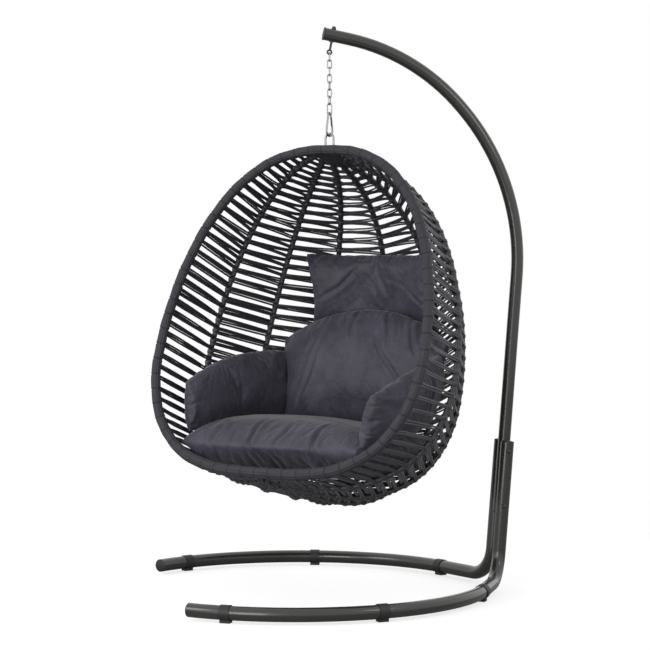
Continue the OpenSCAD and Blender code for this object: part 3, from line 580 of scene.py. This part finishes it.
# %% Rim
TIE_EVERY, RIM_R, LOW_EXTRA = 0.054, 0.0146, 0.0035
CORD_RIDGE, TIE_GROOVE, TIE_SWELL = 0.0017, 0.0024, 0.0006
LOW_FROM, LOW_OVER = 0.62, 0.2
LUMPS, LUMP_WAVES = (0.0007, 0.0004), (0.171, 0.067)
TIE_W, SWELL_AT, SWELL_W = 0.0019, 0.0045, 0.003
rim_fine = np.concatenate([egg(0.0, np.linspace(-90, 90, 2001)),
                           egg(180.0, np.linspace(90, -90, 2001))[1:-1]])
rim_s = np.concatenate([[0], np.cumsum(np.linalg.norm(np.diff(rim_fine, axis=0), axis=1))])
rim_all = rim_s[-1] + np.linalg.norm(rim_fine[0] - rim_fine[-1])
ties = round(rim_all / TIE_EVERY)
tie_gap = rim_all / ties
BESIDE_TIE = np.array([0.0013, 0.0026, 0.0045, 0.008, 0.014, 0.0205])
offsets = np.concatenate([-BESIDE_TIE[::-1], [0.0], BESIDE_TIE]) + tie_gap / 2
stations = (np.arange(ties)[:, None] * tie_gap + offsets).ravel()
loop = np.concatenate([rim_fine, rim_fine[:1]])
loop_s = np.concatenate([rim_s, [rim_all]])
rim_path = np.stack([np.interp(stations, loop_s, loop[:, k]) for k in range(3)], -1)
plane_n = unit(to_room(np.array([0.0, 1, 0])) - to_room(np.array([0.0, 0, 0])))
run = unit(np.roll(rim_path, -1, axis=0) - np.roll(rim_path, 1, axis=0))
out = unit(np.cross(run, plane_n))
turn = np.arange(80) / 80 * 2 * np.pi
from_tie = np.abs(((stations / tie_gap) % 1.0 - 0.5) * tie_gap)[:, None]
low = np.clip((LOW_FROM - rim_path[:, 2]) / LOW_OVER, 0, 1)[:, None]
lumps = (LUMPS[0] * np.sin(stations[:, None] * 2 * np.pi / LUMP_WAVES[0] + 2 * np.cos(turn))
         + LUMPS[1] * np.sin(stations[:, None] * 2 * np.pi / LUMP_WAVES[1] + 3 * np.sin(turn + 1)))
radius = (RIM_R + LOW_EXTRA * low ** 2 + lumps + CORD_RIDGE * np.abs(np.cos(6 * turn)) ** 0.6
          - TIE_GROOVE * np.exp(-(from_tie / TIE_W) ** 2)
          + TIE_SWELL * np.exp(-((from_tie - SWELL_AT) / SWELL_W) ** 2))
ring = np.cos(turn)[:, None] * out[:, None] + np.sin(turn)[:, None] * plane_n
rings = rim_path[:, None] + radius[..., None] * ring
rim_piece = tubes("bound_rim", rings[None, :, ::-1], rim_cord, closed=True)
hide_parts("rim_winding")
print("rim %.2f m round, %d ties" % (rim_all, ties))

# %% [markdown]
# ## Cushions
# A cushion cover is two panels sewn round the edge and stuffed. Each starts as
# a lens of two grids that share their edge, placed as the solid is. Cloth
# simulation then blows it up. The seam keeps its outline and the cloth is cut
# a little too large, so it buckles as a stuffed cover does. Gathers along the
# seam and a few pressed creases are added to the result.

# %% Panels of one cushion
SEAM_EDGE = 0.006
PRESS_U, PRESS_V, PRESS_POWER = (-0.1, 0.9), (-1.0, 1.3), 1.3


def pad_surface(size, rounded, pinch, bow, rise, flare, cells, puff, sunk, ends, grow):
    """Upper and lower panel of a pad on a grid u, v in -1..1. The outline is
    size with rounded ends and drawn-in sides; the crown is
    sqrt((1 - u^ends)(1 - v^4)); bow bends it, rise lifts its top edge as an arch
    or a slope, flare narrows its lower edge, and sunk is the share of its
    upper half that is pressed down towards the right and the back. PRESS_U and
    PRESS_V say where the press begins and over how much it grows."""
    u, v = np.meshgrid(np.linspace(-1, 1, cells[0] + 1), np.linspace(-1, 1, cells[1] + 1), indexing="ij")
    x = size[0] / 2 * grow * u * np.sqrt(1 - rounded * v * v) * (1 - pinch * (1 - v * v) * u * u)
    x = x * (1 + flare * (v - 1) / 2)
    y = size[1] / 2 * grow * v * np.sqrt(1 - rounded * u * u) * (1 - pinch * (1 - u * u) * v * v)
    y = y + (rise[0] * (1 - u * u) + rise[1] * u) * (v + 1) / 2 + rise[2] * u
    crown = np.sqrt(np.maximum((1 - u ** ends) * (1 - v ** 4), 0))
    half = SEAM_EDGE / 2 * (crown > 0) + (size[2] - SEAM_EDGE) / 2 * crown * puff
    z = bow[0] * u * u + bow[1] * v * v
    to_right = np.clip((u - PRESS_U[0]) / PRESS_U[1], 0, 1) ** PRESS_POWER
    press = to_right * np.clip((v - PRESS_V[0]) / PRESS_V[1], 0, 1)
    return np.stack([np.stack([x, y, z + s * half], -1) for s in (1 - sunk * press, -1)])


def turned(p, pitch, yaw):
    """Turns points about x by pitch, then about z by yaw, in degrees."""
    a, b = math.radians(pitch), math.radians(yaw)
    y = p[..., 1] * math.cos(a) - p[..., 2] * math.sin(a)
    z = p[..., 1] * math.sin(a) + p[..., 2] * math.cos(a)
    x = p[..., 0] * math.cos(b) - y * math.sin(b)
    return np.stack([x, p[..., 0] * math.sin(b) + y * math.cos(b), z], -1)


print("a panel's top edge, pitched upright, points to", turned(np.array([0.0, 1.0, 0.0]), 90, 0).round(3))

# %% [markdown]
# ## Cushions stay inside the cords
# Real cushions lean against the woven wall and take its shape. A collision in
# the cloth simulation could do that, but it is slow and may leave cloth between
# two cords. Here a formula pulls back every point that lies beyond the wall.

# %% Inside the basket
START_CLEARANCE, CORD_CLEARANCE = 0.012, 0.011


def inside_basket(p, clear):
    """Pulls points that lie beyond the cords back inside. Cords run straight
    from rib to rib, so at each level the basket is a polygon with a corner at
    every rib. The level's size follows from its height, and a point's reach is
    the largest of its distances to the polygon's sides, each as a share of the
    side's own distance from the middle, less the clearance."""
    c, s = math.cos(LEAN), math.sin(LEAN)
    y, z = p[..., 1] + RIM_BACK - hang_y, p[..., 2] - RIM_TOP
    q = np.stack([p[..., 0] - hang_x, y * c - z * s, y * s + z * c], -1)
    h = q[..., 2] + RISE
    up = h >= 0
    height = np.clip(1 - ((np.abs(h) + clear) / np.where(up, RISE, DROP)) ** 2, 1e-4, 1)
    level = height ** (1 / np.where(up, POW_TOP, POW_LOW))
    w, d = HALF_W * level, DEPTH * level ** np.where(up, DEEP_TOP, DEEP_LOW)
    ribs = np.radians(RIB_AT)
    corner = np.stack([w[..., None] * np.cos(ribs), d[..., None] * np.sin(ribs)], -1)
    side = np.diff(corner, axis=-2)
    normal = unit(np.stack([side[..., 1], -side[..., 0]], -1))
    far = np.maximum(np.sum(normal * corner[..., :-1, :], -1) - clear, 0.01)
    near = np.sum(normal * np.stack([q[..., 0], np.maximum(q[..., 1], 0)], -1)[..., None, :], -1)
    reach = (near / far).max(axis=-1)
    k = np.where(reach > 1, 1 / reach, 1.0)
    q = np.stack([q[..., 0] * k, np.where(q[..., 1] > 0, q[..., 1] * k, q[..., 1]), q[..., 2]], -1)
    return to_room(q)


middle = to_room(np.array([0.0, 0.2, -RISE]))
pulled = np.linalg.norm(inside_basket(middle, CORD_CLEARANCE) - middle)
print("a point in the middle moves by %.1f mm" % (pulled * 1000))


# %% [markdown]
# ## Sewing
# The two grids share the points of their outline, so the cover is one closed
# mesh and its seam can be held as a group of points.

# %% Sew two panels
def sewn(name, panels, finish):
    """Joins the two panels at their shared edge into one closed mesh. Returns
    the object and the vertices on the seam."""
    _, m, n, _ = panels.shape
    top = np.arange(m * n).reshape(m, n)
    rim_mask = np.ones((m, n), bool)
    rim_mask[1:-1, 1:-1] = False
    low = np.where(rim_mask, top, -1)
    low[1:-1, 1:-1] = m * n + np.arange((m - 2) * (n - 2)).reshape(m - 2, n - 2)
    middle = (panels[0] + panels[1]) / 2
    upper = np.where(rim_mask[..., None], middle, panels[0])
    verts = np.concatenate([upper.reshape(-1, 3), panels[1][1:-1, 1:-1].reshape(-1, 3)])
    q_top = np.stack([top[:-1, :-1], top[1:, :-1], top[1:, 1:], top[:-1, 1:]], -1).reshape(-1, 4)
    q_low = np.stack([low[:-1, :-1], low[:-1, 1:], low[1:, 1:], low[1:, :-1]], -1).reshape(-1, 4)
    return put_in_scene(name, verts, np.concatenate([q_top, q_low]), finish), np.flatnonzero(rim_mask)


def normals_of(piece):
    """The mesh's vertex normals as an array."""
    n = np.empty(len(piece.data.vertices) * 3, np.float32)
    piece.data.vertex_normals.foreach_get("vector", n)
    return n.reshape(-1, 3).astype(float)


print("sewing ready")

# %% [markdown]
# ## Gathers, folds and creases
# A real cover is gathered where its cloth is eased into the seam, folds fan
# out from its corners, and use leaves a few creases in its top. The simulated
# cloth gives the large buckles, while these fine ones are added as heights.

# %% Wrinkles
GATHER, GATHER_FADE, GATHER_WAVES = 0.0011, 0.028, (0.019, 0.027, 0.041, 0.066)
FAN, FAN_FADE, FOLDS = 0.0016, 0.085, (9, 15)
CREASE_W, LIP_AT, LIP_W, LIP = 0.0065, 0.016, 0.010, 0.55


def wrinkles(size, cells, seed, creases):
    """Heights in metres for every vertex of a sewn pad: gathers that run in
    from the seam and fade over GATHER_FADE, folds that fan out from each corner
    and fade over FAN_FADE, and creases, each given as (u, v, turn, length, depth)
    with the place on the panel and the crease's direction in degrees."""
    r = np.random.default_rng(seed)
    m, n = cells[0] + 1, cells[1] + 1
    u, v = np.meshgrid(np.linspace(-1, 1, m), np.linspace(-1, 1, n), indexing="ij")
    x, y = u * size[0] / 2, v * size[1] / 2
    panels = []
    for panel in range(2):
        e_x, e_y = size[0] / 2 - np.abs(x), size[1] / 2 - np.abs(y)
        h = np.zeros_like(x)
        for e, q in ((e_x, y), (e_y, x)):
            g = sum(r.uniform(0.5, 1) * np.sin(2 * np.pi * q / wave + r.uniform(0, 6.28))
                    for wave in GATHER_WAVES)
            g = np.sign(g) * np.abs(g) ** 1.3
            h += GATHER * g * np.exp(-e / GATHER_FADE) * (1 - np.exp(-e / 0.004))
        for cx in (-1, 1):
            for cy in (-1, 1):
                dx, dy = x - cx * size[0] / 2, y - cy * size[1] / 2
                d, turn = np.hypot(dx, dy), np.arctan2(dy, dx)
                fan = np.sin(FOLDS[0] * turn + r.uniform(0, 6.28))
                fan = fan + 0.6 * np.sin(FOLDS[1] * turn + r.uniform(0, 6.28))
                h += FAN * fan * np.exp(-d / FAN_FADE) * (1 - np.exp(-d / 0.02))
        if panel == 0:
            for cu, cv, deg, length, depth in creases:
                a = math.radians(deg)
                dx, dy = x - cu * size[0] / 2, y - cv * size[1] / 2
                p, q = dx * math.cos(a) + dy * math.sin(a), -dx * math.sin(a) + dy * math.cos(a)
                q = q + 0.006 * np.sin(p / 0.03 + cu * 9)
                valley = -depth * np.exp(-(q / CREASE_W) ** 2)
                lips = LIP * depth * np.exp(-((np.abs(q) - LIP_AT) / LIP_W) ** 2)
                h += (valley + lips) * np.exp(-(p / length) ** 4)
        panels.append(h)
    return np.concatenate([panels[0].ravel(), panels[1][1:-1, 1:-1].ravel()])


print("gathers are %.0f to %.0f mm wide" % (GATHER_WAVES[0] * 1000, GATHER_WAVES[-1] * 1000))

# %% [markdown]
# ## The five cushions
# Sizes and tilts are those of the solid cushions. at is the place from the top
# of the rim on the hanging axis, and settle is the small move that lets the
# stuffed cover rest on the cords and on its neighbours. The seat is worn: it
# is pressed down at its right and back, and its ends are filled out square.

# %% Cushion sizes
pads = {
    "seat_cushion": dict(
        size=(0.744, 0.600, 0.175), at=(-0.028, -0.050, -0.990), settle=(0, 0, -0.0047), pitch=-3, yaw=0,
        rounded=0.15, pinch=0.03, bow=(0, 0), rise=(0, 0, 0), flare=0, cells=(124, 100),
        sunk=0.5, ends=10, grow=1.02,
        creases=[(-0.62, -0.86, 84, 0.07, 0.007), (-0.2, -0.84, 95, 0.08, 0.008),
                 (0.1, -0.88, 88, 0.06, 0.006), (0.5, -0.84, 100, 0.08, 0.007),
                 (-0.45, 0.1, 20, 0.14, 0.004), (0.3, -0.3, -30, 0.13, 0.004)]),
    "back_cushion": dict(
        size=(0.680, 0.300, 0.135), at=(-0.006, 0.232, -0.778), settle=(-0.0003, -0.0072, -0.0205),
        pitch=78, yaw=0, rounded=0.1, pinch=0.05, bow=(0.020, 0), rise=(0.115, 0, 0), flare=0.15,
        cells=(116, 66), sunk=0.0, ends=4, grow=1.045,
        creases=[(-0.5, 0.72, 70, 0.06, 0.006), (-0.1, 0.8, 95, 0.05, 0.006),
                 (0.3, 0.75, 110, 0.06, 0.006), (0.62, 0.7, 125, 0.06, 0.005),
                 (-0.6, -0.2, 60, 0.12, 0.004), (0.4, 0.1, 140, 0.1, 0.004)]),
    "head_pillow": dict(
        size=(0.520, 0.272, 0.090), at=(-0.030, 0.384, -0.475), settle=(-0.0013, 0.004, 0.0009),
        pitch=99, yaw=0, rounded=0.03, pinch=0.08, bow=(0.078, 0), rise=(0, 0, 0), flare=0,
        cells=(110, 58), sunk=0.0, ends=4, grow=1.02,
        creases=[(-0.55, 0.2, 35, 0.09, 0.004), (0.1, -0.5, 80, 0.05, 0.004),
                 (0.55, 0.1, -25, 0.09, 0.004)]),
    "right_arm_cushion": dict(
        size=(0.460, 0.200, 0.100), at=(0.386, -0.080, -0.840), settle=(-0.019, 0.0026, -0.0109),
        pitch=104, yaw=96, rounded=0.12, pinch=0.05, bow=(-0.040, 0), rise=(0.035, 0.028, 0.034), flare=0,
        cells=(96, 44), sunk=0.0, ends=4, grow=1.045,
        creases=[(-0.5, 0.3, 80, 0.06, 0.006), (0.1, 0.4, 95, 0.06, 0.005), (0.6, 0.2, 70, 0.05, 0.005)]),
    "left_arm_cushion": dict(
        size=(0.460, 0.200, 0.100), at=(-0.404, -0.008, -0.836), settle=(-0.0026, 0.0008, -0.0008),
        pitch=92, yaw=-104, rounded=0.12, pinch=0.05, bow=(-0.040, 0), rise=(0.035, -0.028, -0.020), flare=0,
        cells=(96, 44), sunk=0.0, ends=4, grow=1.045,
        creases=[(-0.55, 0.4, 75, 0.05, 0.005), (0.15, 0.5, 100, 0.05, 0.005),
                 (0.65, 0.3, 70, 0.05, 0.005)]),
}
for name, p in pads.items():
    print(name, "thickness %.0f mm" % (p["size"][2] * 1000))

# %% [markdown]
# ## Blowing a cover up
# A solid pad's smooth crown doesn't look like cloth. The cover is run as cloth
# with pressure inside for a few frames, which is quicker than stuffing it with
# soft bodies, and each point's move is limited, so that the cushion keeps the
# size and place of the solid one.

# %% Blow up one cushion
FRAMES = 20
CLOTH_SHRINK = -0.022


def blown_up(piece, seam, force, reach):
    """Runs the cloth for FRAMES frames with inner pressure and no gravity. The
    seam is held, and a negative shrink makes the cloth 2.2% larger than its
    frame, so it has to buckle. Gives the moved points, each softly kept within reach of where it
    began: a move d becomes reach * tanh(d / reach)."""
    scene = bpy.context.scene
    rest = np.empty(len(piece.data.vertices) * 3, np.float32)
    piece.data.vertices.foreach_get("co", rest)
    rest = rest.reshape(-1, 3).astype(float)
    piece.vertex_groups.new(name="seam").add(seam.tolist(), 1.0, "REPLACE")
    mod = piece.modifiers.new("stuffing", "CLOTH")
    cloth = mod.settings
    cloth.vertex_group_mass = "seam"
    cloth.shrink_min = CLOTH_SHRINK
    cloth.quality = 5
    cloth.mass = 0.25
    cloth.tension_stiffness = cloth.compression_stiffness = 25
    cloth.shear_stiffness = 8
    cloth.bending_stiffness = 0.4
    cloth.use_pressure = True
    cloth.uniform_pressure_force = force
    cloth.effector_weights.gravity = 0
    mod.collision_settings.use_collision = False
    mod.point_cache.frame_start, mod.point_cache.frame_end = 1, FRAMES
    for f in range(1, FRAMES + 1):
        scene.frame_set(f)
    seen = piece.evaluated_get(bpy.context.evaluated_depsgraph_get()).data
    moved = np.empty(len(rest) * 3, np.float32)
    seen.vertices.foreach_get("co", moved)
    moved = moved.reshape(-1, 3).astype(float)
    scene.frame_set(1)
    piece.modifiers.remove(mod)
    step = moved - rest
    far = np.linalg.norm(step, axis=1, keepdims=True)
    return rest + step * np.tanh(far / reach) * reach / np.maximum(far, 1e-9), float(far.max())


print("cloth runs for", FRAMES, "frames")

# %% [markdown]
# ## Stuffing all five
# A cover that will be simulated starts thinner than its solid and is blown up
# to it.

# %% Stuff all five
PRESSURE, REACH, THIN_START = 3.0, 0.026, 0.82
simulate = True
start_puff = THIN_START if simulate else 1.0
cushions = {}
for name, p in pads.items():
    panels = pad_surface(p["size"], p["rounded"], p["pinch"], p["bow"], p["rise"], p["flare"], p["cells"],
                         start_puff, p["sunk"], p["ends"], p["grow"])
    base = turned(panels, p["pitch"], p["yaw"]) + np.array(p["at"]) + np.array([hang_x, hang_y, RIM_TOP])
    base = inside_basket(base, START_CLEARANCE) + np.array(p["settle"])
    piece, seam = sewn(name.replace("cushion", "cover").replace("pillow", "cover"), base, satin)
    if simulate:
        points, most = blown_up(piece, seam, PRESSURE, REACH)
        piece.data.vertices.foreach_set("co", points.astype(np.float32).ravel())
        piece.data.update()
        folds = wrinkles(p["size"], p["cells"], len(name), p["creases"])
        points = points + normals_of(piece) * folds[:, None]
        points = inside_basket(points, CORD_CLEARANCE)
        piece.data.vertices.foreach_set("co", points.astype(np.float32).ravel())
        piece.data.update()
        print(name, "moved up to %.0f mm" % (most * 1000))
    sub = piece.modifiers.new("smooth", "SUBSURF")
    sub.levels = sub.render_levels = 1
    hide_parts(name)
    cushions[name] = piece
print("cushions:", len(cushions))

# %% [markdown]
# ## Riding on the bodies
# Every new piece belongs to the basket, so it swings, turns and rocks with it.

# %% Ride on the basket
for piece in weave_pieces + rib_pieces + [rim_piece]:
    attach(piece, "basket")
for piece in cushions.values():
    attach(piece, "basket")
print("riding on the basket:", len(weave_pieces) + len(rib_pieces) + 1 + len(cushions))

# %% [markdown]
# ## Studio floor
# A pale floor that looks white to the camera through its own light, keeps the
# object's shadow, and fades to full white further out, so that no horizon
# shows.

# %% Floor
HALF_FLOOR, FLOOR_Z = 9.0, -0.0005
floor_mesh = bpy.data.meshes.new("studio_floor")
corners = [(x * HALF_FLOOR, y * HALF_FLOOR, FLOOR_Z) for x, y in ((-1, -1), (1, -1), (1, 1), (-1, 1))]
floor_mesh.from_pydata(corners, [], [(0, 1, 2, 3)])
floor = bpy.data.objects.new("studio_floor", floor_mesh)
bpy.context.scene.collection.objects.link(floor)
print("floor is %.0f m wide" % (2 * HALF_FLOOR))

# %% Studio paper
FLOOR_GLOW, FADE_FROM, FADE_TO = 0.68, 0.9, 2.2
paper, t, skin, where = finish_named("white_studio_paper")
fill(t, skin, Base_Color=linear("#cfcfcf"), Roughness=0.9)
to_camera = t.nodes.new("ShaderNodeLightPath").outputs["Is Camera Ray"]
lift_by = add(t, "ShaderNodeMath", {"operation": "MULTIPLY"}, i0=to_camera, i1=FLOOR_GLOW)
lift = add(t, "ShaderNodeEmission", Color=linear("#ffffff"), Strength=lift_by.outputs[0])
both = add(t, "ShaderNodeAddShader", i0=skin.outputs["BSDF"], i1=lift.outputs["Emission"])
reach = add(t, "ShaderNodeVectorMath", {"operation": "LENGTH"}, i0=where).outputs["Value"]
fade = add(t, "ShaderNodeMapRange", {"interpolation_type": "SMOOTHSTEP"}, Value=reach, From_Min=FADE_FROM,
           From_Max=FADE_TO).outputs["Result"]
fade_by = add(t, "ShaderNodeMath", {"operation": "MULTIPLY"}, i0=to_camera, i1=fade)
far_white = add(t, "ShaderNodeEmission", Color=linear("#ffffff"), Strength=1.0)
blend = add(t, "ShaderNodeMixShader", Fac=fade_by.outputs[0], i1=both.outputs["Shader"],
            i2=far_white.outputs["Emission"])
fill(t, t.nodes["Material Output"], Surface=blend.outputs["Shader"])
floor_mesh.materials.append(paper)
print("floor fades to white between %.1f and %.1f m" % (FADE_FROM, FADE_TO))

# %% [markdown]
# ## Surroundings
# Dark furniture needs pale surroundings to show in its gloss, so the camera,
# glossy rays and rays that pass through meet full white, while the light that
# the surroundings give is about half of that.

# %% World
ROOM_LIGHT, SEEN_LIGHT = 0.46, 1.0
world = bpy.data.worlds.new("pale_room")
bpy.context.scene.world = world
world.use_nodes = True
wt = world.node_tree
sky = fill(wt, wt.nodes["Background"], Color=linear("#ffffff"), Strength=ROOM_LIGHT)
seen = add(wt, "ShaderNodeBackground", Color=linear("#ffffff"), Strength=SEEN_LIGHT)
rays = wt.nodes.new("ShaderNodeLightPath").outputs
sharp = rays["Is Camera Ray"]
for kind in ("Is Glossy Ray", "Is Transmission Ray"):
    sharp = add(wt, "ShaderNodeMath", {"operation": "MAXIMUM"}, i0=sharp, i1=rays[kind]).outputs[0]
pick = add(wt, "ShaderNodeMixShader", Fac=sharp, i1=sky.outputs[0], i2=seen.outputs[0])
fill(wt, wt.nodes["World Output"], Surface=pick.outputs[0])
print("world lights at", ROOM_LIGHT, "and is seen at", SEEN_LIGHT)

# %% [markdown]
# ## Lamps
# Three large, soft lamps: one high on the left, a lower and stronger one in
# front, and a weak one on the right that lights the curved tube's edge. The
# plain view transform keeps the white background white.

# %% Lamps
AIM = (0, 0, 0.9)


def softbox(name, place, aim, size, watts):
    """An area lamp of the given size, pointed at aim."""
    lamp = bpy.data.lights.new(name, "AREA")
    lamp.shape, lamp.size, lamp.energy = "SQUARE", size, watts
    o = bpy.data.objects.new(name, lamp)
    o.location = Vector(place)
    o.rotation_euler = (Vector(aim) - Vector(place)).to_track_quat("-Z", "Y").to_euler()
    bpy.context.scene.collection.objects.link(o)
    return o


softbox("softbox_left", (-2.2, -4.0, 2.3), AIM, 1.8, 45)
softbox("softbox_front", (0.6, -5.0, 1.2), AIM, 2.0, 62)
softbox("softbox_right", (3.6, -0.4, 2.6), (0.1, 0, 0.9), 0.9, 12)
bpy.context.scene.view_settings.view_transform = "Standard"
print("lamps:", len(bpy.data.lights))
